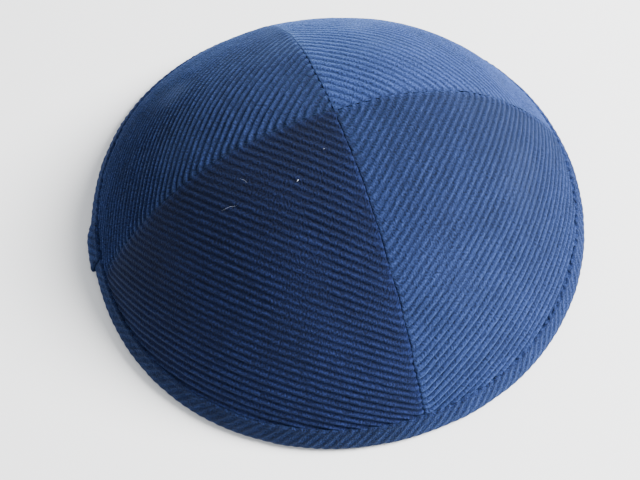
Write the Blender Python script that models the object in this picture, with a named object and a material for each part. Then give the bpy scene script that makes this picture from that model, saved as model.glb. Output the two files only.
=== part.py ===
"""Corduroy kippah: four panels sewn into a crown, the rim bound with a bias strip.

Metres, +Z up. The origin is the middle of the rim's underside, so the kippah
rests on z = 0. The front panel faces -Y and the right panel +X.
"""

import math

import bmesh
import bpy
import numpy as np

# Crown
RIM_RADIUS = 0.086  # over the binding, where the seams meet it
CROWN_HEIGHT = 0.0586  # from the surface it rests on to the apex
CROWN_LEAN = 0.0018  # how far the apex stands off the middle of the rim
LEAN_AZIMUTH = math.radians(93.0)
PANEL_COUNT = 4
PANEL_THICKNESS = 0.0018  # cloth and pile together
PILE_DEPTH = 0.0007  # pressed flat in the seams and under the binding
SEAM_ROLL = 0.0022  # width over which a panel's edge rolls down into its seam
APEX_HOLE = 0.0007  # radius at which the panels' points stop short of the axis
CLEARANCE = 0.0003  # between pieces that lie against each other

# Binding
BINDING_WIDTH = 0.0065  # from the panel's edge to the line of stitches
BINDING_THICKNESS = 0.0011
FOLD_FLAT = 0.0004  # how much of the fold's underside is pressed flat
PRESS_RUN = 0.0024  # width over which the pile rises again above the binding
LAP_AZIMUTH = math.radians(-139.4)  # where the strip's end lies over its start
LAP_LENGTH = 0.011
LAP_RAMP = 0.009
LAP_RISE = 0.0015

# Slope of the wall from the apex down to the rim: (share of the way, degrees)
CROWN_SLOPES = ((0, 0.0), (0.25, 25.7), (0.5, 44.4), (0.75, 53.2), (1, 71.3))

# Fullness of a panel: (share of the way, radius at its middle / at its seams)
PANEL_FULLNESS = ((0.0, 1.019), (0.5, 0.984), (1.0, 1.003))

# How the outline wanders: (lobes round it, share of the rim's radius, azimuth)
RIM_WAVES = ((2, 0.009, 11.2), (3, 0.0098, 46.5), (4, 0.0064, -16.4))
WALL_WAVES = ((0, 0.021, 0.0), (1, 0.003, 145.7), (2, 0.0097, 47.7), (3, 0.0099, -43.0))
RIM_WAVE_POWER = 2.0  # the rim's waves fade towards the apex by this power of the share
WALL_WAVE_POWER = 1.5  # and the wall's towards both ends

# Fineness of the facets
WALL_ROWS = 17
PRESS_ROWS = 4
PANEL_COLUMNS = 16
FOLD_STEPS = 6
PROFILE_STEPS = 400
COLUMN_CROWDING = 0.45  # how much closer together the columns are beside the seams
LEG_SHARE = 0.45  # place of the middle points on the binding's legs
SHARP_ANGLE = math.radians(40.0)

PANELS = (("panel_front", -90.0), ("panel_right", 0.0), ("panel_back", 90.0), ("panel_left", 180.0))
PANEL_COLOUR = (0.030, 0.062, 0.160, 1.0)
BINDING_COLOUR = (0.026, 0.054, 0.140, 1.0)
CLOTH_ROUGHNESS = 0.9

HALF_PANEL = math.pi / PANEL_COUNT
PRESSED = PANEL_THICKNESS - PILE_DEPTH
FOLD_RADIUS = PRESSED / 2 + CLEARANCE + BINDING_THICKNESS
EDGE_DEPTH = PILE_DEPTH + PRESSED / 2  # from the panel's outer face to its pressed middle
RIM_SLOPE = math.radians(CROWN_SLOPES[-1][1])
EDGE_RADIUS = RIM_RADIUS - FOLD_RADIUS + EDGE_DEPTH * math.sin(RIM_SLOPE)
EDGE_HEIGHT = FOLD_RADIUS - FOLD_FLAT + EDGE_DEPTH * math.cos(RIM_SLOPE)


def through(table, share):
    """Smooth curve through a table's points."""
    places, values = zip(*table)
    return np.polyval(np.polyfit(places, values, len(table) - 1), share)


def ease(share):
    """0 to 1 with level ends."""
    share = np.clip(share, 0.0, 1.0)
    return share * share * (3.0 - 2.0 * share)


def running_sum(values):
    """Integral of evenly spaced values, starting at 0."""
    return np.concatenate(([0.0], np.cumsum((values[1:] + values[:-1]) / 2)))


def crown_profile():
    """Share, radius, height and length of the panels' outer face, apex to rim."""
    share = np.linspace(0.0, 1.0, PROFILE_STEPS)
    slope = np.radians(through(CROWN_SLOPES, share))
    out, down = running_sum(np.cos(slope)), running_sum(np.sin(slope))
    radius = out / out[-1] * EDGE_RADIUS
    height = CROWN_HEIGHT - down / down[-1] * (CROWN_HEIGHT - EDGE_HEIGHT)
    steps = np.hypot(np.diff(radius), np.diff(height))
    return share, radius, height, steps.sum()


SHARE, RADIUS, HEIGHT, WALL_LENGTH = crown_profile()
NORMAL_OUT = -np.gradient(HEIGHT) / np.hypot(np.gradient(HEIGHT), np.gradient(RADIUS))
NORMAL_UP = np.gradient(RADIUS) / np.hypot(np.gradient(HEIGHT), np.gradient(RADIUS))


def wave(table, azimuth):
    """Sum of a table's lobes, in metres."""
    return sum(size * RIM_RADIUS * math.cos(lobes * (azimuth - math.radians(turn)))
               for lobes, size, turn in table)


def panel_section(share, azimuth):
    """Radius of a panel's curve at an azimuth, as a share of its radius at the seams."""
    from_middle = (azimuth + HALF_PANEL) % (2 * HALF_PANEL) - HALF_PANEL
    straight = math.cos(HALF_PANEL)
    flatness = (1.0 - through(PANEL_FULLNESS, share)) / (1.0 - straight)
    return 1.0 - flatness + flatness * straight / math.cos(from_middle)


def wall_point(share, azimuth, depth=0.0):
    """Point of the crown, at a depth under the panels' outer face."""
    radius = np.interp(share, SHARE, RADIUS) * panel_section(share, azimuth)
    height = np.interp(share, SHARE, HEIGHT)
    out = np.interp(share, SHARE, NORMAL_OUT)
    up = np.interp(share, SHARE, NORMAL_UP)
    swell = wave(WALL_WAVES, azimuth) * math.sin(math.pi * share) ** WALL_WAVE_POWER - depth
    radius += wave(RIM_WAVES, azimuth) * share ** RIM_WAVE_POWER + swell * out
    lean = CROWN_LEAN * (1.0 - ease(share))
    return (radius * math.cos(azimuth) + lean * math.cos(LEAN_AZIMUTH),
            radius * math.sin(azimuth) + lean * math.sin(LEAN_AZIMUTH), height + swell * up)


def pressed_depth(share, seam_distance):
    """How far the pile is pressed in at a place on a panel."""
    above_binding = (1.0 - share) * WALL_LENGTH - BINDING_WIDTH
    by_binding = 1.0 - ease(above_binding / PRESS_RUN)
    by_seam = 1.0 - ease(seam_distance / SEAM_ROLL)
    return PILE_DEPTH * (1.0 - (1.0 - by_binding) * (1.0 - by_seam))


def panel_rows():
    """Shares of the way down at which a panel has a row of points."""
    first = APEX_HOLE / WALL_LENGTH
    press = 1.0 - (BINDING_WIDTH + PRESS_RUN) / WALL_LENGTH
    under = 1.0 - BINDING_WIDTH / WALL_LENGTH
    return np.concatenate((
        np.linspace(first, press, WALL_ROWS, endpoint=False),
        np.linspace(press, under, PRESS_ROWS, endpoint=False),
        (under, (under + 1.0) / 2, 1.0)))


def column_shares():
    """Places across a panel from -1 to 1, closer together beside the seams."""
    even = np.linspace(-1.0, 1.0, PANEL_COLUMNS + 1)
    return even + COLUMN_CROWDING * (np.sin(even * math.pi / 2) - even)


def skin(rings, closed_rows):
    """Mesh of quads over rows of points, the last row joined to the first if closed."""
    mesh = bmesh.new()
    rows = [[mesh.verts.new(point) for point in ring] for ring in rings]
    count = len(rows[0])
    last = len(rows) if closed_rows else len(rows) - 1
    for index in range(last):
        upper, lower = rows[index], rows[(index + 1) % len(rows)]
        for side in range(count):
            ahead = (side + 1) % count
            mesh.faces.new((upper[side], upper[ahead], lower[ahead], lower[side]))
    if not closed_rows:
        mesh.faces.new(rows[0])
        mesh.faces.new(rows[-1])
    bmesh.ops.recalc_face_normals(mesh, faces=mesh.faces)
    return mesh


def add_object(name, mesh, material):
    """Scene object of a mesh, shaded smooth but for its edges."""
    data = bpy.data.meshes.new(name)
    bmesh.ops.triangulate(mesh, faces=[face for face in mesh.faces if len(face.verts) > 4])
    mesh.to_mesh(data)
    mesh.free()
    data.shade_smooth()
    data.set_sharp_from_angle(angle=SHARP_ANGLE)
    data.materials.append(material)
    thing = bpy.data.objects.new(name, data)
    bpy.context.scene.collection.objects.link(thing)
    return thing


def cloth(name, colour):
    """Matt material of one colour."""
    material = bpy.data.materials.new(name)
    material.use_nodes = True
    shader = material.node_tree.nodes["Principled BSDF"]
    shader.inputs["Base Color"].default_value = colour
    shader.inputs["Roughness"].default_value = CLOTH_ROUGHNESS
    shader.inputs["Metallic"].default_value = 0.0
    return material


def panel_ring(share, middle):
    """Closed loop round a panel's thickness: its outer face, then back along the inner."""
    radius = np.interp(share, SHARE, RADIUS)
    half = HALF_PANEL - math.asin(CLEARANCE / 2 / radius)
    turns = column_shares() * half
    outer = [wall_point(share, middle + turn, pressed_depth(share, (half - abs(turn)) * radius))
             for turn in turns]
    inner = [wall_point(share, middle + turn, PANEL_THICKNESS) for turn in turns[::-1]]
    return outer + inner


def panel(middle):
    """One of the four gores of the crown."""
    return skin([panel_ring(share, middle) for share in panel_rows()], closed_rows=False)


def lap_height(azimuth):
    """How far the strip's end stands out where it lies over its start."""
    before_end = ((LAP_AZIMUTH - azimuth) % (2 * math.pi)) * RIM_RADIUS
    return LAP_RISE * (1.0 - ease((before_end - LAP_LENGTH) / LAP_RAMP))


def binding_azimuths():
    """Azimuths of the binding's sections: the panels' columns, and both sides of the lap's end."""
    turns = [math.radians(middle) + column * HALF_PANEL
             for _, middle in PANELS for column in column_shares()[:-1]]
    step = CLEARANCE / RIM_RADIUS
    ramp = (LAP_LENGTH + LAP_RAMP * np.linspace(0.0, 1.0, 3)) / RIM_RADIUS
    lap = [LAP_AZIMUTH - step, LAP_AZIMUTH + step] + list(LAP_AZIMUTH - ramp)
    turns = sorted(turn % (2 * math.pi) for turn in turns + lap)
    kept = [turns[0]]
    for turn in turns[1:]:
        if turn - kept[-1] > step / 2:
            kept.append(turn)
    return kept


def fold_point(azimuth, angle, radius):
    """Point on the fold round the panels' edge: angle 0 is outward, 180 inward."""
    centre = wall_point(1.0, azimuth, EDGE_DEPTH)
    out, up = NORMAL_OUT[-1], NORMAL_UP[-1]
    across = radius * (math.cos(angle) * out + math.sin(angle) * up)
    rise = radius * (math.cos(angle) * up - math.sin(angle) * out)
    return (centre[0] + across * math.cos(azimuth), centre[1] + across * math.sin(azimuth),
            max(centre[2] + rise, 0.0))


def binding_ring(azimuth):
    """Section of the binding: a cloth channel round the panels' edge."""
    lap = lap_height(azimuth)
    top = 1.0 - BINDING_WIDTH / WALL_LENGTH
    shoulder = 1.0 - (BINDING_WIDTH - BINDING_THICKNESS) / WALL_LENGTH
    legs = (1.0 - LEG_SHARE * BINDING_WIDTH / WALL_LENGTH, shoulder)
    outside = PILE_DEPTH - CLEARANCE
    inside = PANEL_THICKNESS + CLEARANCE
    thick = BINDING_THICKNESS + lap
    angles = np.linspace(0.0, math.pi, FOLD_STEPS + 1)
    ring = [wall_point(top, azimuth, outside),
            wall_point(top, azimuth, outside - 0.5 * thick)]
    ring += [wall_point(share, azimuth, outside - thick) for share in legs[::-1]]
    ring += [fold_point(azimuth, angle, FOLD_RADIUS + lap) for angle in angles]
    ring += [wall_point(share, azimuth, inside + thick) for share in legs]
    ring += [wall_point(top, azimuth, inside + 0.5 * thick),
             wall_point(top, azimuth, inside)]
    ring += [fold_point(azimuth, angle, FOLD_RADIUS - BINDING_THICKNESS)
             for angle in angles[::-1]]
    return ring


def binding():
    """Bias strip folded over the rim, its end lapped over its start."""
    return skin([binding_ring(turn) for turn in binding_azimuths()], closed_rows=True)


def main():
    for old in list(bpy.data.objects):
        bpy.data.objects.remove(old, do_unlink=True)
    corduroy = cloth("corduroy", PANEL_COLOUR)
    strip = cloth("bias_corduroy", BINDING_COLOUR)
    for name, middle in PANELS:
        add_object(name, panel(math.radians(middle)), corduroy)
    add_object("rim_binding", binding(), strip)


main()
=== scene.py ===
"""Looks of the corduroy kippah: ribbed pile panels, a bias-cut binding, stitches and lint.

Metres, +Z up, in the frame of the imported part. The front panel faces -Y.
"""
import math

import bpy
import numpy as np
from mathutils import Matrix


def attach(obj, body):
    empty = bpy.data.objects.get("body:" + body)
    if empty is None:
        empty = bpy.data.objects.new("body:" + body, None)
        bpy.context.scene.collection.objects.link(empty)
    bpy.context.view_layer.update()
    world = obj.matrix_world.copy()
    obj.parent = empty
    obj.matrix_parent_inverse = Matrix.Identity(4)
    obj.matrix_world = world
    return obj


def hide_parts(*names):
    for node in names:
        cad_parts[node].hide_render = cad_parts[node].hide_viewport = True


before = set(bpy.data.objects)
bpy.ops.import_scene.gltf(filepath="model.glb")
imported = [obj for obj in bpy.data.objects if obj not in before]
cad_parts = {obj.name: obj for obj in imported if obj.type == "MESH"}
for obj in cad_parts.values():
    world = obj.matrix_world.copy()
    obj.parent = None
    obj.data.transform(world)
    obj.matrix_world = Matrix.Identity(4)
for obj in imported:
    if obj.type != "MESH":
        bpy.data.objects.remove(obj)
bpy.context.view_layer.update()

# Crown and binding: the sizes of the part
RIM_RADIUS = 0.086
CROWN_HEIGHT = 0.0586
CROWN_LEAN = 0.0018
LEAN_AZIMUTH = math.radians(93.0)
PANEL_COUNT = 4
PANEL_THICKNESS = 0.0018
PILE_DEPTH = 0.0007
CLEARANCE = 0.0003
BINDING_WIDTH = 0.0065
BINDING_THICKNESS = 0.0011
FOLD_FLAT = 0.0004
LAP_AZIMUTH = math.radians(-139.4)
LAP_LENGTH = 0.011
LAP_RAMP = 0.009
LAP_RISE = 0.0015
CROWN_SLOPES = ((0, 0.0), (0.25, 25.7), (0.5, 44.4), (0.75, 53.2), (1, 71.3))
PANEL_FULLNESS = ((0.0, 1.019), (0.5, 0.984), (1.0, 1.003))
RIM_WAVES = ((2, 0.009, 11.2), (3, 0.0098, 46.5), (4, 0.0064, -16.4))
WALL_WAVES = ((0, 0.021, 0.0), (1, 0.003, 145.7), (2, 0.0097, 47.7), (3, 0.0099, -43.0))
RIM_WAVE_POWER = 2.0
WALL_WAVE_POWER = 1.5
PROFILE_STEPS = 800

HALF_PANEL = math.pi / PANEL_COUNT
PRESSED = PANEL_THICKNESS - PILE_DEPTH
FOLD_RADIUS = PRESSED / 2 + CLEARANCE + BINDING_THICKNESS
EDGE_DEPTH = PILE_DEPTH + PRESSED / 2
RIM_SLOPE = math.radians(CROWN_SLOPES[-1][1])
EDGE_RADIUS = RIM_RADIUS - FOLD_RADIUS + EDGE_DEPTH * math.sin(RIM_SLOPE)
EDGE_HEIGHT = FOLD_RADIUS - FOLD_FLAT + EDGE_DEPTH * math.cos(RIM_SLOPE)

# Cloth
WALE = 0.0023  # from rib to rib
PRESS_DEPTH = 0.00065  # of the pile under the binding, besides its ribs
RIB_SAMPLES = (0.0, 0.08, 0.19, 0.34, 0.5, 0.66, 0.81, 0.92)  # rows of a rib, from groove to groove
SEAM_GAP = 0.00003
SEAM_DEPTH = 0.00040
SEAM_ROLL = 0.0008
SEAM_WANDER = 0.00022  # how far a seam strays from its straight line
SEAM_BEND = 0.0008  # how far a seam draws the wales towards the apex
BEND_REACH = 0.0030
PANELS = (
    # name, middle, place of a rib's crest in wales, sharpness of its ribs high up and at the rim
    ("panel_front", -90.0, 0.75, (1.15, 1.15)),
    ("panel_right", 0.0, 0.12, (1.25, 0.55)),
    ("panel_back", 90.0, 0.50, (0.70, 0.70)),
    ("panel_left", 180.0, 0.00, (1.10, 1.10)),
)
LEVELS = (0.05, 0.4, 0.95)  # shares of the way down, for the two tables below
RELIEF = {
    # depth of the ribs: at three levels, and its change towards the next seam
    "panel_front": (0.00036, 0.00042, 0.00052, 0.00016),
    "panel_right": (0.00058, 0.00048, 0.00080, 0.0),
    "panel_back": (0.00032, 0.00031, 0.00036, 0.0),
    "panel_left": (0.00072, 0.00050, 0.00074, 0.00004),
}
SEAM_WEIGHT = {45: 0.75, 135: 0.50, 225: 0.80, 315: 1.5}  # how deep each seam is drawn in
SEAM_FILL = {45: 0.25, 135: 0.55, 225: 0.25, 315: 0.35}  # how far its thread evens out the ribs
SEAM_BLEND = 0.0020  # how far the lightness of two neighbours' pile, partly nap and partly painted shade, mingles at a seam
FILL_REACH = 0.0012  # how far from a seam its thread evens out the ribs
APEX_REACH = 0.004  # within this radius the seams are less deep and stray less
BEND_START = 0.008  # the seams draw the wales fully from this radius on
PRESS_EDGE = 0.0008  # width of the step where the binding starts to press the pile
TUCK = 0.12  # share of its height that the pile loses at a seam
TUCK_REACH = 0.0010
WEAR = 0.55  # share of their depth that the ribs lose where the pile is worn
NAP_AND_PAINTED_SHADE = {
    # how light the pile looks, partly from its nap and partly painted shade and light: at three
    # levels, and its change towards the next seam
    "panel_front": (0.17, 0.24, 0.34, 0.08),
    "panel_right": (0.45, 0.50, 0.69, -0.16),
    "panel_back": (0.84, 0.98, 1.08, 0.0),
    "panel_left": (0.39, 0.39, 0.62, 0.10),
}


# ---- shape of the crown

def through(table, share):
    places, values = zip(*table)
    return np.polyval(np.polyfit(places, values, len(table) - 1), share)


def ease(share):
    share = np.clip(share, 0.0, 1.0)
    return share * share * (3.0 - 2.0 * share)


def running_sum(values):
    return np.concatenate(([0.0], np.cumsum((values[1:] + values[:-1]) / 2)))


SHARE = np.linspace(0.0, 1.0, PROFILE_STEPS)
_slope = np.radians(through(CROWN_SLOPES, SHARE))
_out, _down = running_sum(np.cos(_slope)), running_sum(np.sin(_slope))
RADIUS = _out / _out[-1] * EDGE_RADIUS
HEIGHT = CROWN_HEIGHT - _down / _down[-1] * (CROWN_HEIGHT - EDGE_HEIGHT)
ALONG = np.concatenate(([0.0], np.cumsum(np.hypot(np.diff(RADIUS), np.diff(HEIGHT)))))
WALL_LENGTH = ALONG[-1]
_run = np.hypot(np.gradient(HEIGHT), np.gradient(RADIUS))
NORMAL_OUT = -np.gradient(HEIGHT) / _run
NORMAL_UP = np.gradient(RADIUS) / _run
STRETCH = np.gradient(ALONG, RADIUS)


def wave(table, azimuth):
    return sum(size * RIM_RADIUS * np.cos(lobes * (azimuth - math.radians(turn)))
               for lobes, size, turn in table)


def wall_point(share, azimuth, depth=0.0):
    """Points of the crown, at a depth under the panels' outer face."""
    share, azimuth, depth = np.broadcast_arrays(share, azimuth, depth)
    from_middle = (azimuth + HALF_PANEL) % (2 * HALF_PANEL) - HALF_PANEL
    straight = math.cos(HALF_PANEL)
    flatness = (1.0 - through(PANEL_FULLNESS, share)) / (1.0 - straight)
    section = 1.0 - flatness + flatness * straight / np.cos(from_middle)
    out = np.interp(share, SHARE, NORMAL_OUT)
    up = np.interp(share, SHARE, NORMAL_UP)
    swell = wave(WALL_WAVES, azimuth) * np.sin(math.pi * np.clip(share, 0, 1)) ** WALL_WAVE_POWER
    radius = np.interp(share, SHARE, RADIUS) * section
    radius = radius + wave(RIM_WAVES, azimuth) * share ** RIM_WAVE_POWER + (swell - depth) * out
    height = np.interp(share, SHARE, HEIGHT) + (swell - depth) * up
    lean = CROWN_LEAN * (1.0 - ease(share))
    return np.stack([radius * np.cos(azimuth) + lean * math.cos(LEAN_AZIMUTH),
                     radius * np.sin(azimuth) + lean * math.sin(LEAN_AZIMUTH), height], axis=-1)


def fold_point(azimuth, angle, radius, ground=0.0):
    """Points on the fold round the panels' edge, none of them below the ground.

    Angle 0 is outward and 180 degrees inward.
    """
    azimuth, angle, radius = np.broadcast_arrays(azimuth, angle, radius)
    centre = wall_point(1.0, azimuth, EDGE_DEPTH)
    out, up = NORMAL_OUT[-1], NORMAL_UP[-1]
    across = radius * (np.cos(angle) * out + np.sin(angle) * up)
    rise = radius * (np.cos(angle) * up - np.sin(angle) * out)
    return np.stack([centre[..., 0] + across * np.cos(azimuth),
                     centre[..., 1] + across * np.sin(azimuth),
                     np.maximum(centre[..., 2] + rise, ground)], axis=-1)


# ---- unevenness

def soft_noise(seed, x, y, cell_x, cell_y):
    """Smooth noise from -1 to 1 with cells of the given sizes."""
    draw = np.random.default_rng(seed)
    grid = draw.uniform(-1.0, 1.0, (257, 257))
    gx, gy = np.asarray(x) / cell_x, np.asarray(y) / cell_y
    ix, iy = np.floor(gx).astype(int), np.floor(gy).astype(int)
    fx, fy = ease(gx - ix), ease(gy - iy)
    a = grid[ix % 257, iy % 257] * (1 - fx) + grid[(ix + 1) % 257, iy % 257] * fx
    b = grid[ix % 257, (iy + 1) % 257] * (1 - fx) + grid[(ix + 1) % 257, (iy + 1) % 257] * fx
    return a * (1 - fy) + b * fy


def rib(phase, sharpness=1.0):
    """Height of the pile across a wale, 0 in the groove and 1 on the crest."""
    return (0.5 - 0.5 * np.cos(2.0 * math.pi * phase)) ** sharpness


# ---- meshes

def make_mesh(name, points, faces, material, attributes=(), smooth=True):
    data = bpy.data.meshes.new(name)
    data.from_pydata(points.reshape(-1, 3).tolist(), [], faces)
    for label, values, kind in attributes:
        layer = data.attributes.new(label, kind, "POINT")
        key = "value" if kind == "FLOAT" else "vector"
        layer.data.foreach_set(key, np.asarray(values, dtype=np.float32).ravel())
    if smooth:
        data.shade_smooth()
    for entry in (material if isinstance(material, list) else [material]):
        data.materials.append(entry)
    data.validate()
    thing = bpy.data.objects.new(name, data)
    bpy.context.scene.collection.objects.link(thing)
    return thing


def grid_faces(rows, columns, first=0, flip=False, closed=False):
    """Quads over a grid of points, its last column joined to its first if closed."""
    width = columns if closed else columns - 1
    row, column = np.meshgrid(np.arange(rows - 1), np.arange(width), indexing="ij")
    ahead = (column + 1) % columns
    a, b = row * columns + column, row * columns + ahead
    c, d = (row + 1) * columns + ahead, (row + 1) * columns + column
    order = (a, b, c, d) if flip else (a, d, c, b)
    return (np.stack([index.ravel() for index in order], axis=1) + first).tolist()


# ---- panels

MAIN_COLUMNS = 62  # along half a wale
ROLL_COLUMNS = 10  # and down into the seam
CURVE_STEPS = 90
INNER_STEP = 4  # rows of the outer face for each row of the inner


def wale_curve(start):
    """Turns from the panel's middle and radii along a wale.

    The wale crosses the middle line at this distance from the apex, along the cloth.
    """
    first = np.interp(start, ALONG, RADIUS)
    last = np.arccos(np.clip(first / RADIUS[-1], -1.0, 1.0))
    lean = np.linspace(0.0, 1.0, CURVE_STEPS) * last
    radius = first / np.cos(lean)
    stretch = np.interp(radius, RADIUS, STRETCH)
    turn = np.concatenate(([0.0], np.cumsum((stretch[1:] + stretch[:-1]) / 2 * np.diff(lean))))
    return turn, radius


def half_row(start):
    """Turns and radii of a row's columns, from the panel's middle to its edge."""
    turn, radius = wale_curve(start)
    limit = HALF_PANEL - np.arcsin(SEAM_GAP / 2 / radius)
    past = np.nonzero(turn > limit)[0]
    if len(past):
        i = past[0]
        gap = (limit - turn)[i - 1:i + 1]
        share = gap[0] / (gap[0] - gap[1])
        end = turn[i - 1] + share * (turn[i] - turn[i - 1])
    else:
        end = turn[-1]
    end_radius = np.interp(end, turn, radius)
    roll = min(SEAM_ROLL * 1.25 / end_radius, 0.45 * end)
    main = np.linspace(0.0, 1.0, MAIN_COLUMNS, endpoint=False) * (end - roll)
    tail = end - roll * np.linspace(1.0, 0.0, ROLL_COLUMNS + 1) ** 1.25
    turns = np.concatenate((main, tail))
    return turns, np.interp(turns, turn, radius)


def seam_roll(distance):
    """Depth of a panel's rounded edge at a distance from its seam."""
    share = np.clip(1.0 - distance / SEAM_ROLL, 0.0, 1.0)
    return SEAM_DEPTH * (1.0 - np.sqrt(np.clip(1.0 - share ** 2.4, 0.0, 1.0)))


def seam_shift(turns, radii, half, middle):
    """Turn that carries a panel's edges along with its two seams, which stray a little."""
    shift = np.zeros_like(turns)
    for side in (-1.0, 1.0):
        seam = int(round(middle + side * 45.0)) % 360
        stray = SEAM_WANDER * soft_noise(900 + seam, radii, 0.0 * radii, 0.0055, 1.0)
        near = np.clip(side * turns / half, 0.0, 1.0) ** 5
        shift = shift + near * stray * ease(radii / APEX_REACH) / radii
    return shift


def nap_and_painted_shade_level(label, share, toward_seam):
    """How light a panel's pile looks: partly its nap, partly painted shade and light."""
    table = NAP_AND_PAINTED_SHADE[label]
    return np.interp(share, LEVELS, table[:3]) + table[3] * toward_seam


def panel(name, middle, crest, sharpness, materials):
    seed = int(round(middle)) % 360
    wales = WALL_LENGTH / WALE
    places = [0.03]
    for number in range(-1, int(wales) + 2):
        for sample in RIB_SAMPLES:
            place = number + crest - 0.5 + sample
            if 0.12 < place < wales - 0.02:
                places.append(place)
    places.append(wales - 0.02)
    places = np.array(places)
    halves = [half_row(place * WALE) for place in places]
    turns = np.stack([half[0] for half in halves])
    radii = np.stack([half[1] for half in halves])
    turns = np.concatenate((-turns[:, :0:-1], turns), axis=1)
    radii = np.concatenate((radii[:, :0:-1], radii), axis=1)
    rows, columns = turns.shape
    half = HALF_PANEL - np.arcsin(SEAM_GAP / 2 / radii)
    from_seam = (half - np.abs(turns)) * radii
    bend = np.clip(1.0 - from_seam / BEND_REACH, 0.0, 1.0) ** 2 * ease(radii / BEND_START)
    radii = radii - SEAM_BEND * bend
    share = np.interp(radii, RADIUS, SHARE)
    label = name.replace("_cloth", "")
    toward_seam = turns / HALF_PANEL * np.sqrt(share)
    relief = np.interp(share, LEVELS, RELIEF[label][:3]) + RELIEF[label][3] * toward_seam
    along = turns * radii
    pattern = np.repeat(places[:, None] * WALE, columns, axis=1)
    worn = np.clip(soft_noise(seed + 12, along, pattern, 0.013, 0.016) + 0.25, 0.0, 1.0)
    between = ease((share - 0.12) / 0.15) * ease((0.85 - share) / 0.3)
    relief = relief * (1.0 - WEAR * worn * between)
    number = np.floor(places - crest + 0.5)[:, None] * 17.31
    phase = (places - crest + 0.5)[:, None] + 0.0 * turns
    wander = 0.05 * soft_noise(seed + 1, along, number, 0.0035, 1.0)
    wander = wander + 0.03 * soft_noise(seed + 6, along, number, 0.0012, 1.0)
    height = rib(phase + wander, np.interp(share, (0.2, 0.75), sharpness))
    fullness = 1.0 + 0.16 * soft_noise(seed + 2, along, number, 0.0024, 1.0)
    fullness = fullness + 0.16 * soft_noise(seed + 3, along, pattern, 0.0011, 0.0008)
    fullness = fullness + 0.10 * soft_noise(seed + 4, along, pattern, 0.009, 0.009)
    from_rim = (1.0 - share) * WALL_LENGTH
    pressed = 1.0 - ease((from_rim - BINDING_WIDTH + PRESS_EDGE) / PRESS_EDGE)
    tucked = TUCK * (1.0 - ease(from_seam / TUCK_REACH))
    rise = height * fullness * (1.0 - tucked) * (1.0 - 0.85 * pressed)
    spots = soft_noise(seed + 7, radii, np.sign(turns), 0.0035, 1.0)
    spots = 0.55 + 0.75 * np.clip(spots, -0.6, 1.0)
    before, after = (seed - 45) % 360, (seed + 45) % 360
    weight = np.where(turns < 0, SEAM_WEIGHT[before], SEAM_WEIGHT[after])
    fill = np.where(turns < 0, SEAM_FILL[before], SEAM_FILL[after])
    filled = (1.0 - ease(from_seam / FILL_REACH)) * fill
    depth = relief * ((1.0 - rise) * (1.0 - filled) + 0.4 * filled)
    depth = depth + seam_roll(from_seam) * spots * weight * ease(radii / APEX_REACH)
    depth = np.maximum(depth, relief * (1.0 - 0.15 * pressed)) * pressed + depth * (1.0 - pressed)
    depth = depth + PRESS_DEPTH * pressed
    depth = depth + 0.00010 * soft_noise(seed + 5, along, pattern, 0.012, 0.010)
    azimuth = turns + math.radians(middle) + seam_shift(turns, radii, half, middle)
    outer = wall_point(share, azimuth, np.minimum(depth, PANEL_THICKNESS - 0.0002))
    kept = sorted(set(range(0, rows, INNER_STEP)) | {rows - 1})
    inner = wall_point(share[kept], azimuth[kept], PANEL_THICKNESS)
    faces = grid_faces(rows, columns)
    base = rows * columns
    inner_faces = grid_faces(len(kept), columns, base, flip=True)
    rim = []
    last = columns - 1
    for j, (upper, lower) in enumerate(zip(kept[:-1], kept[1:])):
        left = [row * columns for row in range(upper, lower + 1)]
        right = [row * columns + last for row in range(lower, upper - 1, -1)]
        rim.append(left + [base + (j + 1) * columns, base + j * columns])
        rim.append(right + [base + j * columns + last, base + (j + 1) * columns + last])
    for column in range(last):
        rim.append([column + 1, column, base + column, base + column + 1])
        low, inner_low = (rows - 1) * columns + column, base + (len(kept) - 1) * columns + column
        rim.append([low, low + 1, inner_low + 1, inner_low])
    points = np.concatenate((outer.reshape(-1, 3), inner.reshape(-1, 3)))
    # Painted shade and light, partly nap: how light the pile looks at each point, blended with the
    # neighbouring panel near each seam.
    nap_and_painted_shade = nap_and_painted_shade_level(label, share, toward_seam)
    labels = [entry[0] for entry in PANELS]
    place_in_ring = labels.index(label)
    edge = np.sqrt(share)
    mingle = 0.5 * (1.0 - ease(from_seam / SEAM_BLEND))
    mingle = mingle * (1.0 + 0.5 * soft_noise(seed + 9, along, pattern, 0.0008, 0.0008))
    for side in (-1, 1):
        other = nap_and_painted_shade_level(labels[(place_in_ring + side) % len(labels)], share, -side * edge)
        nap_and_painted_shade = np.where(side * turns > 0, nap_and_painted_shade + mingle * (other - nap_and_painted_shade), nap_and_painted_shade)
    nap_and_painted_shade = nap_and_painted_shade * (1.0 + 0.10 * soft_noise(seed + 8, along, pattern, 0.014, 0.011))
    pile = np.clip(rise, 0.0, 1.2)
    tuft = np.concatenate((pile.ravel(), np.zeros(inner.shape[0] * columns)))
    nap_and_painted_shade = np.concatenate((nap_and_painted_shade.ravel(), np.full(inner.shape[0] * columns, NAP_AND_PAINTED_SHADE[label][2])))
    cloth = np.stack((along, pattern, np.zeros_like(along)), axis=-1)
    cloth = np.concatenate((cloth.reshape(-1, 3), cloth[kept].reshape(-1, 3)))
    thing = make_mesh(name, points, faces + inner_faces + rim, materials,
                      (("pile", tuft, "FLOAT"), ("nap_and_painted_shade", nap_and_painted_shade, "FLOAT"),
                       ("cloth", cloth, "FLOAT_VECTOR")))
    index = np.zeros(len(thing.data.polygons), dtype=np.int32)
    index[len(faces):] = 1
    thing.data.polygons.foreach_set("material_index", index)
    return thing


# ---- binding

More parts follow.
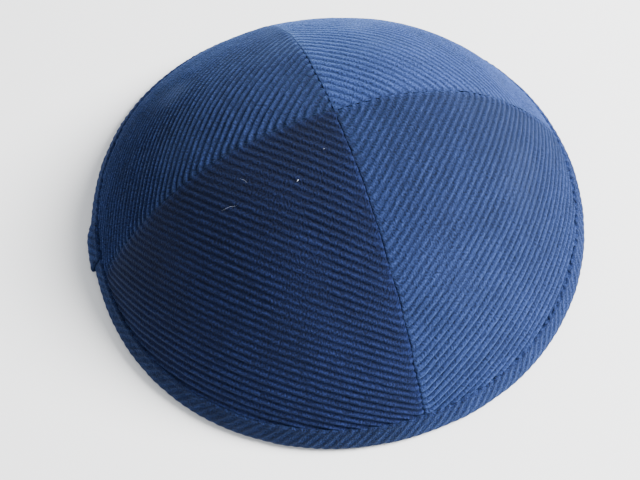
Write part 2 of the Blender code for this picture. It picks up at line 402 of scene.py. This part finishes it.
STRIP_COLUMNS = 1400
STITCH = 0.0027
STITCH_LINE = 0.0012  # below the binding's upper edge
STRIP_SINK = 0.0005  # how far the strip's upper edge sinks into the pile
STRIP_RELIEF = 0.00040
FOLD_ROWS = slice(18, 40)  # rings of the strip's section that lie on the fold
LAP_HUG = 0.75  # how much of the lap's rise its upper edge loses against the panel
BULGE = 0.0010  # of the strip's inner leg over the end of a seam
BULGE_LENGTH = 0.0075  # half of the bulge's length
EDGE_ROUND = 0.0009  # length of the strip's rounded edge
STRIP_START = LAP_AZIMUTH - LAP_LENGTH * 0.6 / RIM_RADIUS
STRIP_END = LAP_AZIMUTH + 2 * math.pi
UNDERLAP = 0.0008  # height of the strip's start where the lap passes under it
FLAT_THICKNESS = 0.0005  # of the strip where the fold lies flat on the ground


def lap_rise(azimuth):
    """How far the end of the strip is lifted to pass over its start."""
    before_end = (STRIP_END - azimuth) * RIM_RADIUS
    return LAP_RISE * (1.0 - ease((before_end - LAP_LENGTH) / LAP_RAMP))


def seam_bulge(azimuth):
    """How far the binding's inner leg stands off over the ends of the seams."""
    seams = [math.radians(middle + 45.0) for _, middle, _, _ in PANELS]
    away = [(azimuth - seam + math.pi) % (2 * math.pi) - math.pi for seam in seams]
    return BULGE * sum(np.exp(-(turn * RIM_RADIUS / BULGE_LENGTH) ** 4) for turn in away)


def strip_section(azimuth, lift):
    """Rings of the binding's section: the outer skin from edge to edge, then the inner skin."""
    top = 1.0 - BINDING_WIDTH / WALL_LENGTH
    ground = UNDERLAP * (1.0 - ease((azimuth - LAP_AZIMUTH) * RIM_RADIUS / 0.002))
    outside = PILE_DEPTH - CLEARANCE + STRIP_SINK
    inside = PANEL_THICKNESS + CLEARANCE
    thick = BINDING_THICKNESS
    rows, skin = [], []
    round_edge = np.radians(np.linspace(-90.0, 80.0, 7))
    for angle in round_edge:
        share = top + (1.0 - math.cos(angle)) * thick * 0.5 / WALL_LENGTH
        depth = outside - thick * (0.5 + 0.5 * math.sin(angle))
        rows.append(wall_point(share, azimuth, depth - lift * (1.0 - LAP_HUG)))
        skin.append(0)
    for step in np.linspace(0.06, 1.0, 15):
        share = top + (1.0 - top) * step
        hug = LAP_HUG * (1.0 - ease(step / 0.7))
        sink = STRIP_SINK * ease(step / 0.9)
        rows.append(wall_point(share, azimuth, outside - sink - thick - lift * (1.0 - hug)))
        skin.append(0)
    for angle in np.linspace(0.0, math.pi, 17)[1:]:
        rows.append(fold_point(azimuth, angle, FOLD_RADIUS + lift, ground))
        skin.append(0)
    bulge = seam_bulge(azimuth)
    for step in np.linspace(1.0, 0.06, 9)[1:]:
        share = top + (1.0 - top) * step
        rows.append(wall_point(share, azimuth, inside + thick + lift + bulge * (1.0 - step)))
        skin.append(0)
    for angle in round_edge[::-1]:
        share = top + (1.0 - math.cos(angle)) * thick * 0.5 / WALL_LENGTH
        depth = inside + thick * (0.5 + 0.5 * math.sin(angle)) + bulge
        rows.append(wall_point(share, azimuth, depth + lift))
        skin.append(0)
    outer_count = len(rows)
    for step in (0.5, 1.0):
        depth = inside + lift + bulge * (1.0 - step)
        rows.append(wall_point(top + (1.0 - top) * step, azimuth, depth))
        skin.append(1)
    for angle in (0.72 * math.pi, 0.5 * math.pi, 0.28 * math.pi):
        radius = FOLD_RADIUS - thick + lift
        rows.append(fold_point(azimuth, angle, radius, ground + FLAT_THICKNESS))
        skin.append(1)
    for step in (1.0, 0.5):
        hug = LAP_HUG * (1.0 - ease(step / 0.7))
        sink = STRIP_SINK * ease(step / 0.9)
        depth = outside - sink - lift * (1.0 - hug)
        rows.append(wall_point(top + (1.0 - top) * step, azimuth, depth))
        skin.append(1)
    return np.stack(rows, axis=1), outer_count, np.array(skin)


def binding(material):
    azimuth = np.linspace(STRIP_START, STRIP_END, STRIP_COLUMNS)
    lift = lap_rise(azimuth)
    base, outer_count, skin = strip_section(azimuth, lift)
    columns, count = base.shape[:2]
    along = (azimuth * RIM_RADIUS)[:, None] + np.zeros((1, count))
    middle = base[columns // 3]
    steps = np.linalg.norm(np.diff(middle, axis=0), axis=1)
    across = np.concatenate(([0.0], np.cumsum(steps)))[None, :] + np.zeros((columns, 1))
    tangent = np.gradient(base, axis=0)
    fall = np.gradient(base, axis=1)
    normal = np.cross(tangent, fall)
    normal /= np.maximum(np.linalg.norm(normal, axis=-1, keepdims=True), 1e-12)
    edge_gap = np.minimum(across, across[:, outer_count - 1:outer_count] - across)
    phase = (along + across) / (WALE * math.sqrt(2.0))
    phase = phase + 0.09 * soft_noise(71, along, across, 0.0045, 0.0030)
    height = rib(phase, 0.8)
    height = height * (1.0 + 0.40 * soft_noise(72, along, across, 0.0011, 0.0011))
    from_line = edge_gap - EDGE_ROUND - STITCH_LINE
    line = np.exp(-(from_line / 0.00055) ** 2)
    beat = 0.5 - 0.5 * np.cos(2 * math.pi * along / STITCH)
    dent = line * (0.00008 + 0.00010 * (1.0 - beat))
    pucker = np.exp(-((edge_gap - 0.0008) / 0.0008) ** 2) * (beat - 0.5) * 0.00010
    lumps = 0.00012 * soft_noise(73, along, across, 0.0060, 0.0035)
    rise = height * (1.0 - 0.35 * line)
    on_fold = np.zeros(count)
    on_fold[FOLD_ROWS] = 1.0
    move = STRIP_RELIEF * (rise - 1.0) * (1.0 - 0.55 * on_fold) - dent + pucker + lumps
    move = np.where(np.arange(count)[None, :] < outer_count, move, 0.0)
    points = base + normal * move[..., None]
    points[..., 2] = np.maximum(points[..., 2], 0.0)
    faces = grid_faces(columns, count, closed=True)
    first = list(range(count))
    last = [(columns - 1) * count + index for index in range(count)]
    faces += [first, last[::-1]]
    pile = np.where(np.arange(count)[None, :] < outer_count, rise, 0.3)
    # Painted shade and light, partly nap: the binding takes the lightness of the panel beside it.
    nap_and_painted_shade = np.zeros_like(along)
    for label, middle, _, _ in PANELS:
        far = np.abs((azimuth - math.radians(middle) + math.pi) % (2 * math.pi) - math.pi)
        near = 1.0 - ease((far - HALF_PANEL + 0.25) / 0.5)
        nap_and_painted_shade = nap_and_painted_shade + (near * (NAP_AND_PAINTED_SHADE[label][2] + 0.02))[:, None]
    cloth = np.stack((along - across, along + across, np.zeros_like(along)), axis=-1)
    return make_mesh("rim_binding_cloth", points, faces, material,
                     (("pile", pile, "FLOAT"), ("nap_and_painted_shade", nap_and_painted_shade, "FLOAT"),
                      ("cloth", cloth, "FLOAT_VECTOR")))


# ---- thread, seam allowances and lint

STITCH_LENGTH = 0.0019
THREAD_RADIUS = 0.00017
THREAD_SIDES = 6  # of stitches and lint
ALLOWANCE = 0.0058  # width of the cloth beyond a seam, pressed open inside
ALLOWANCE_START = 0.0012  # its width next to the apex
ALLOWANCE_EDGE = 0.0007  # width over which its two edges are rounded
ALLOWANCE_THICKNESS = 0.0009
LINT = (
    # azimuth, share, turn of the fibre, its length, its radius
    (-90.2, 0.220, 70.0, 0.0007, 0.00013),
    (-77.8, 0.118, 20.0, 0.0005, 0.00004),
    (-113.6, 0.383, 57.0, 0.0050, 0.000020),
    (-117.4, 0.303, 16.0, 0.0027, 0.000014),
)


def tubes(paths, radius, sides):
    """Closed tubes along several paths of equal length, as points and faces."""
    paths = np.asarray(paths)
    count, steps = paths.shape[:2]
    ahead = np.gradient(paths, axis=1)
    ahead /= np.linalg.norm(ahead, axis=-1, keepdims=True)
    side = np.cross(ahead, [0.0, 0.0, 1.0])
    side /= np.linalg.norm(side, axis=-1, keepdims=True)
    above = np.cross(side, ahead)
    swell = np.sin(math.pi * (np.arange(steps) + 0.5) / steps) ** 0.5 * radius
    turn = np.linspace(0.0, 2 * math.pi, sides, endpoint=False)
    ring = (side[:, :, None] * np.cos(turn)[:, None] + above[:, :, None] * np.sin(turn)[:, None])
    points = paths[:, :, None] + ring * swell[None, :, None, None]
    faces = []
    for index in range(count):
        first = index * steps * sides
        faces += grid_faces(steps, sides, first, closed=True, flip=True)
        faces.append([first + turned for turned in range(sides)])
        faces.append([first + steps * sides - 1 - turned for turned in range(sides)])
    return points, faces


def stitches(material):
    """The row of stitches through the binding, seen outside and inside."""
    count = int(round(2 * math.pi * RIM_RADIUS / STITCH))
    middles = np.arange(count) * 2 * math.pi / count
    step = np.linspace(-0.5, 0.5, 6)
    azimuth = middles[:, None] + step * STITCH_LENGTH / RIM_RADIUS
    lift = lap_rise(STRIP_START + (azimuth - STRIP_START) % (2 * math.pi))
    share = 1.0 - (BINDING_WIDTH - STITCH_LINE - BINDING_THICKNESS * 0.4) / WALL_LENGTH
    bow = 0.00012 * (2.0 * step) ** 2 + 0.00010
    outer_leg = PILE_DEPTH - CLEARANCE + STRIP_SINK * 0.9 - BINDING_THICKNESS
    outside = wall_point(share, azimuth, outer_leg + bow - lift * (1.0 - LAP_HUG))
    inner_leg = PANEL_THICKNESS + CLEARANCE + BINDING_THICKNESS
    inside = wall_point(share, azimuth, inner_leg - bow + lift + seam_bulge(azimuth))
    points, faces = tubes(np.concatenate((outside, inside)), THREAD_RADIUS, THREAD_SIDES)
    return make_mesh("binding_stitches", points, faces, material)


def allowances(material):
    """Both edges of each seam, pressed open against the inside, their pile towards the hollow."""
    rows, columns = 200, 12
    share = np.linspace(0.05, 1.0 - 0.4 * BINDING_WIDTH / WALL_LENGTH, rows)[:, None]
    radius = np.interp(share, SHARE, RADIUS)
    all_points, all_faces, piles, cloths = [], [], [], []
    for index, (_, middle, crest, _) in enumerate(PANELS):
        for side in (-1.0, 1.0):
            width = ALLOWANCE - ALLOWANCE_START
            width = ALLOWANCE_START + width * ease((radius - 0.004) / 0.016)
            width = width + 0.00025 * soft_noise(300 + 2 * index + int(side > 0), share * 0.1,
                                                 0.0 * share, 0.006, 1.0)
            across = 0.0002 + np.linspace(0.0, 1.0, columns)[None, :] * width
            azimuth = math.radians(middle) + side * (HALF_PANEL - across / radius)
            edge = np.clip((width - across) / ALLOWANCE_EDGE, 0.0, 1.0)
            fold = np.clip(across / ALLOWANCE_EDGE, 0.0, 1.0)
            round_off = np.sqrt(1.0 - (1.0 - edge) ** 2)
            round_off = round_off * (0.5 + 0.5 * np.sqrt(1.0 - (1.0 - fold) ** 2))
            place = np.interp(share, SHARE, ALONG) * np.cos(HALF_PANEL + across / radius) / WALE
            high = rib(place - crest + 0.5) * round_off
            under = PANEL_THICKNESS + 0.00008
            thick = ALLOWANCE_THICKNESS * (0.15 + 0.60 * round_off + 0.25 * high)
            top = wall_point(share + 0.0 * across, azimuth, under + thick)
            low = wall_point(share + 0.0 * across, azimuth, under + 0.0 * across)
            first = sum(len(part) for part in all_points)
            size = rows * columns
            turned = side > 0
            all_faces += grid_faces(rows, columns, first, flip=turned)
            all_faces += grid_faces(rows, columns, first + size, flip=not turned)
            for row in range(rows - 1):
                for column, order in ((0, 1), (columns - 1, -1)):
                    a = first + row * columns + column
                    quad = [a, a + columns, a + columns + size, a + size]
                    all_faces.append(quad[::-1] if (order > 0) == turned else quad)
            for column in range(columns - 1):
                for row, order in ((0, -1), (rows - 1, 1)):
                    a = first + row * columns + column
                    quad = [a, a + 1, a + 1 + size, a + size]
                    all_faces.append(quad[::-1] if (order > 0) == turned else quad)
            all_points += [top.reshape(-1, 3), low.reshape(-1, 3)]
            piles += [high.ravel(), np.zeros(size)]
            cloth = np.stack((share * 0.1 + 0.0 * across, place * WALE, 0.0 * across), axis=-1)
            cloths += [cloth.reshape(-1, 3), cloth.reshape(-1, 3)]
    points = np.concatenate(all_points)
    nap_and_painted_shade = np.full(len(points), 0.5)
    return make_mesh("seam_allowances", points, all_faces, material,
                     (("pile", np.concatenate(piles), "FLOAT"), ("nap_and_painted_shade", nap_and_painted_shade, "FLOAT"),
                      ("cloth", np.concatenate(cloths), "FLOAT_VECTOR")))


def lint(material):
    """A few pale fibres that cling to the front panel."""
    points, faces, count = [], [], 0
    for azimuth, share, turn, length, radius in LINT:
        turn = math.radians(turn)
        step = np.linspace(-0.5, 0.5, 9)
        bow = 0.05 * length * np.cos(math.pi * step * 1.6)
        along = step * length * math.cos(turn) - bow * math.sin(turn)
        up = step * length * math.sin(turn) + bow * math.cos(turn)
        far = np.interp(share, SHARE, RADIUS)
        path = wall_point(share - up / WALL_LENGTH, math.radians(azimuth) + along / far,
                          -0.00006 + 0.0 * step)
        ring, sheet = tubes([path], radius, THREAD_SIDES)
        faces += [[index + count for index in face] for face in sheet]
        points.append(ring.reshape(-1, 3))
        count += len(points[-1])
    return make_mesh("lint", np.concatenate(points), faces, material)


# ---- materials

def nodes_of(name):
    material = bpy.data.materials.new(name)
    material.use_nodes = True
    tree = material.node_tree
    return material, tree, tree.nodes["Principled BSDF"]


def colour(value, shade=1.0):
    return tuple(channel * shade for channel in value) + (1.0,)


# Groove and crest colours: the groove's darkness is partly the cloth's own and partly painted shade
# between the wales.
GROOVE = (0.0086, 0.0172, 0.0640)
CREST = (0.0205, 0.0386, 0.1330)
SHADED_GROOVE = (0.0082, 0.0160, 0.0720)
SHADED_CREST = (0.0200, 0.0370, 0.1480)
BACK = (0.020, 0.040, 0.100)
THREAD_COLOUR = (0.010, 0.020, 0.060)
LINT_COLOUR = (0.42, 0.46, 0.55)


def pile_material(name, sheen, groove=GROOVE, crest=CREST, mottle=(0.42, 1.62)):
    """Cut pile: dark between the wales, partly painted shade in the grooves, lighter on the crests,
    mottled where tufts lean.
    """
    material, tree, shader = nodes_of(name)
    link, new = tree.links.new, tree.nodes.new
    pile = new("ShaderNodeAttribute")
    pile.attribute_name = "pile"
    cloth = new("ShaderNodeAttribute")
    cloth.attribute_name = "cloth"
    tufts = new("ShaderNodeMapping")
    tufts.inputs["Scale"].default_value = (1700.0, 1300.0, 1.0)
    link(cloth.outputs["Vector"], tufts.inputs["Vector"])
    speckle = new("ShaderNodeTexNoise")
    speckle.inputs["Scale"].default_value = 1.0
    speckle.inputs["Detail"].default_value = 1.5
    speckle.inputs["Roughness"].default_value = 0.6
    link(tufts.outputs["Vector"], speckle.inputs["Vector"])
    patches = new("ShaderNodeMapping")
    patches.inputs["Scale"].default_value = (90.0, 140.0, 1.0)
    link(cloth.outputs["Vector"], patches.inputs["Vector"])
    cloud = new("ShaderNodeTexNoise")
    cloud.inputs["Scale"].default_value = 1.0
    cloud.inputs["Detail"].default_value = 2.0
    link(patches.outputs["Vector"], cloud.inputs["Vector"])
    level = new("ShaderNodeMapRange")
    level.inputs["From Min"].default_value = 0.25
    level.inputs["From Max"].default_value = 1.05
    link(pile.outputs["Fac"], level.inputs["Value"])
    mixed = new("ShaderNodeMix")
    mixed.data_type = "RGBA"
    mixed.inputs["A"].default_value = colour(groove)
    mixed.inputs["B"].default_value = colour(crest)
    link(level.outputs["Result"], mixed.inputs["Factor"])
    spread = new("ShaderNodeMapRange")
    spread.inputs["From Min"].default_value = 0.34
    spread.inputs["From Max"].default_value = 0.66
    spread.inputs["To Min"].default_value = mottle[0]
    spread.inputs["To Max"].default_value = mottle[1]
    link(speckle.outputs["Fac"], spread.inputs["Value"])
    clouded = new("ShaderNodeMapRange")
    clouded.inputs["From Min"].default_value = 0.30
    clouded.inputs["From Max"].default_value = 0.70
    clouded.inputs["To Min"].default_value = 0.88
    clouded.inputs["To Max"].default_value = 1.12
    link(cloud.outputs["Fac"], clouded.inputs["Value"])
    product = new("ShaderNodeMath")
    product.operation = "MULTIPLY"
    link(spread.outputs["Result"], product.inputs[0])
    link(clouded.outputs["Result"], product.inputs[1])
    # Painted shade and light, partly nap: the colour is scaled by the lightness attribute of each
    # point.
    nap_and_painted_shade = new("ShaderNodeAttribute")
    nap_and_painted_shade.attribute_name = "nap_and_painted_shade"
    shaded = new("ShaderNodeMath")
    shaded.operation = "MULTIPLY"
    link(product.outputs["Value"], shaded.inputs[0])
    link(nap_and_painted_shade.outputs["Fac"], shaded.inputs[1])
    scaled = new("ShaderNodeVectorMath")
    scaled.operation = "SCALE"
    link(mixed.outputs["Result"], scaled.inputs[0])
    link(shaded.outputs["Value"], scaled.inputs["Scale"])
    link(scaled.outputs["Vector"], shader.inputs["Base Color"])
    bump = new("ShaderNodeBump")
    bump.inputs["Strength"].default_value = 0.9
    bump.inputs["Distance"].default_value = 0.0005
    link(speckle.outputs["Fac"], bump.inputs["Height"])
    link(bump.outputs["Normal"], shader.inputs["Normal"])
    shader.inputs["Roughness"].default_value = 0.92
    shader.inputs["Specular IOR Level"].default_value = 0.12
    shader.inputs["Sheen Weight"].default_value = sheen
    shader.inputs["Sheen Roughness"].default_value = 0.45
    shader.inputs["Sheen Tint"].default_value = (0.22, 0.42, 1.0, 1.0)
    return material


def plain_material(name, value, roughness):
    material, _, shader = nodes_of(name)
    shader.inputs["Base Color"].default_value = colour(value)
    shader.inputs["Roughness"].default_value = roughness
    shader.inputs["Specular IOR Level"].default_value = 0.2
    return material


def back_material(name):
    """The woven back of the cloth."""
    material, tree, shader = nodes_of(name)
    link, new = tree.links.new, tree.nodes.new
    cloth = new("ShaderNodeAttribute")
    cloth.attribute_name = "cloth"
    weave = []
    for turn in (0.0, math.pi / 2):
        place = new("ShaderNodeMapping")
        place.inputs["Rotation"].default_value = (0.0, 0.0, turn)
        link(cloth.outputs["Vector"], place.inputs["Vector"])
        threads = new("ShaderNodeTexWave")
        threads.inputs["Scale"].default_value = 420.0
        threads.inputs["Distortion"].default_value = 0.6
        threads.inputs["Detail"].default_value = 1.0
        link(place.outputs["Vector"], threads.inputs["Vector"])
        weave.append(threads)
    joined = new("ShaderNodeMath")
    joined.operation = "MULTIPLY"
    link(weave[0].outputs["Fac"], joined.inputs[0])
    link(weave[1].outputs["Fac"], joined.inputs[1])
    mixed = new("ShaderNodeMix")
    mixed.data_type = "RGBA"
    mixed.inputs["A"].default_value = colour(BACK, 0.7)
    mixed.inputs["B"].default_value = colour(BACK, 1.25)
    link(joined.outputs["Value"], mixed.inputs["Factor"])
    link(mixed.outputs["Result"], shader.inputs["Base Color"])
    bump = new("ShaderNodeBump")
    bump.inputs["Strength"].default_value = 0.35
    bump.inputs["Distance"].default_value = 0.0001
    link(joined.outputs["Value"], bump.inputs["Height"])
    link(bump.outputs["Normal"], shader.inputs["Normal"])
    shader.inputs["Roughness"].default_value = 0.95
    shader.inputs["Specular IOR Level"].default_value = 0.1
    return material


# ---- building

back = back_material("corduroy_back")
for name, middle, crest, sharpness in PANELS:
    dark, light = (SHADED_GROOVE, SHADED_CREST) if name == "panel_front" else (GROOVE, CREST)
    pile = pile_material("pile_" + name.split("_")[1], 0.3 * NAP_AND_PAINTED_SHADE[name][2], dark, light)
    cloth_panel = panel(name + "_cloth", middle, crest, sharpness, [pile, back])
    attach(cloth_panel, "root")
    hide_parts(name)

strip = binding(pile_material("pile_binding", 0.15, mottle=(0.22, 1.95)))
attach(strip, "root")
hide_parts("rim_binding")


pressed_open = allowances(pile_material("pile_allowances", 0.15))
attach(pressed_open, "root")

sewing = stitches(plain_material("thread", THREAD_COLOUR, 0.7))
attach(sewing, "root")

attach(lint(plain_material("lint", LINT_COLOUR, 0.9)), "root")


# ---- studio

FLOOR_COLOUR = (0.86, 0.86, 0.86)


def studio():
    material, _, shader = nodes_of("floor")
    shader.inputs["Base Color"].default_value = colour(FLOOR_COLOUR)
    shader.inputs["Roughness"].default_value = 0.8
    shader.inputs["Specular IOR Level"].default_value = 0.1
    half = 4.0
    corners = np.array([[-half, -half, -0.0003], [half, -half, -0.0003],
                        [half, half, -0.0003], [-half, half, -0.0003]])
    floor = make_mesh("floor", corners, [[0, 1, 2, 3]], material, smooth=False)
    world = bpy.data.worlds.new("studio")
    bpy.context.scene.world = world
    world.use_nodes = True
    background = world.node_tree.nodes["Background"]
    background.inputs["Color"].default_value = (0.93, 0.96, 1.0, 1.0)
    background.inputs["Strength"].default_value = 1.0
    add_light("key", azimuth=33.0, elevation=40.0, distance=1.2, size=0.6, power=75.0)


def add_light(name, azimuth, elevation, distance, size, power):
    data = bpy.data.lights.new(name, "AREA")
    data.shape = "DISK"
    data.size = size
    data.energy = power
    lamp = bpy.data.objects.new(name, data)
    bpy.context.scene.collection.objects.link(lamp)
    turn, lift = math.radians(azimuth), math.radians(elevation)
    back = np.array([math.cos(turn) * math.cos(lift), math.sin(turn) * math.cos(lift),
                     math.sin(lift)])
    right = np.array([-math.sin(turn), math.cos(turn), 0.0])
    up = np.cross(back, right)
    place = back * distance + np.array([0.0, 0.0, 0.03])
    rows = [[right[i], up[i], back[i], place[i]] for i in range(3)]
    lamp.matrix_world = Matrix(rows + [[0.0, 0.0, 0.0, 1.0]])


CAMERA_PLACE = (0.07884, -0.15849, 0.30242)
CAMERA_RIGHT = (0.90199, 0.43093, -0.02669)
CAMERA_UP = (-0.36637, 0.79663, 0.48078)
CAMERA_BACK = (0.22844, -0.42388, 0.87643)
CAMERA_LENS = 55.68  # mm, on a sensor 36 mm wide


def camera():
    data = bpy.data.cameras.new("camera")
    data.sensor_width = 36.0
    data.lens = CAMERA_LENS
    data.clip_start = 0.01
    thing = bpy.data.objects.new("camera", data)
    bpy.context.scene.collection.objects.link(thing)
    rows = [[CAMERA_RIGHT[i], CAMERA_UP[i], CAMERA_BACK[i], CAMERA_PLACE[i]] for i in range(3)]
    thing.matrix_world = Matrix(rows + [[0.0, 0.0, 0.0, 1.0]])
    bpy.context.scene.camera = thing


studio()
camera()
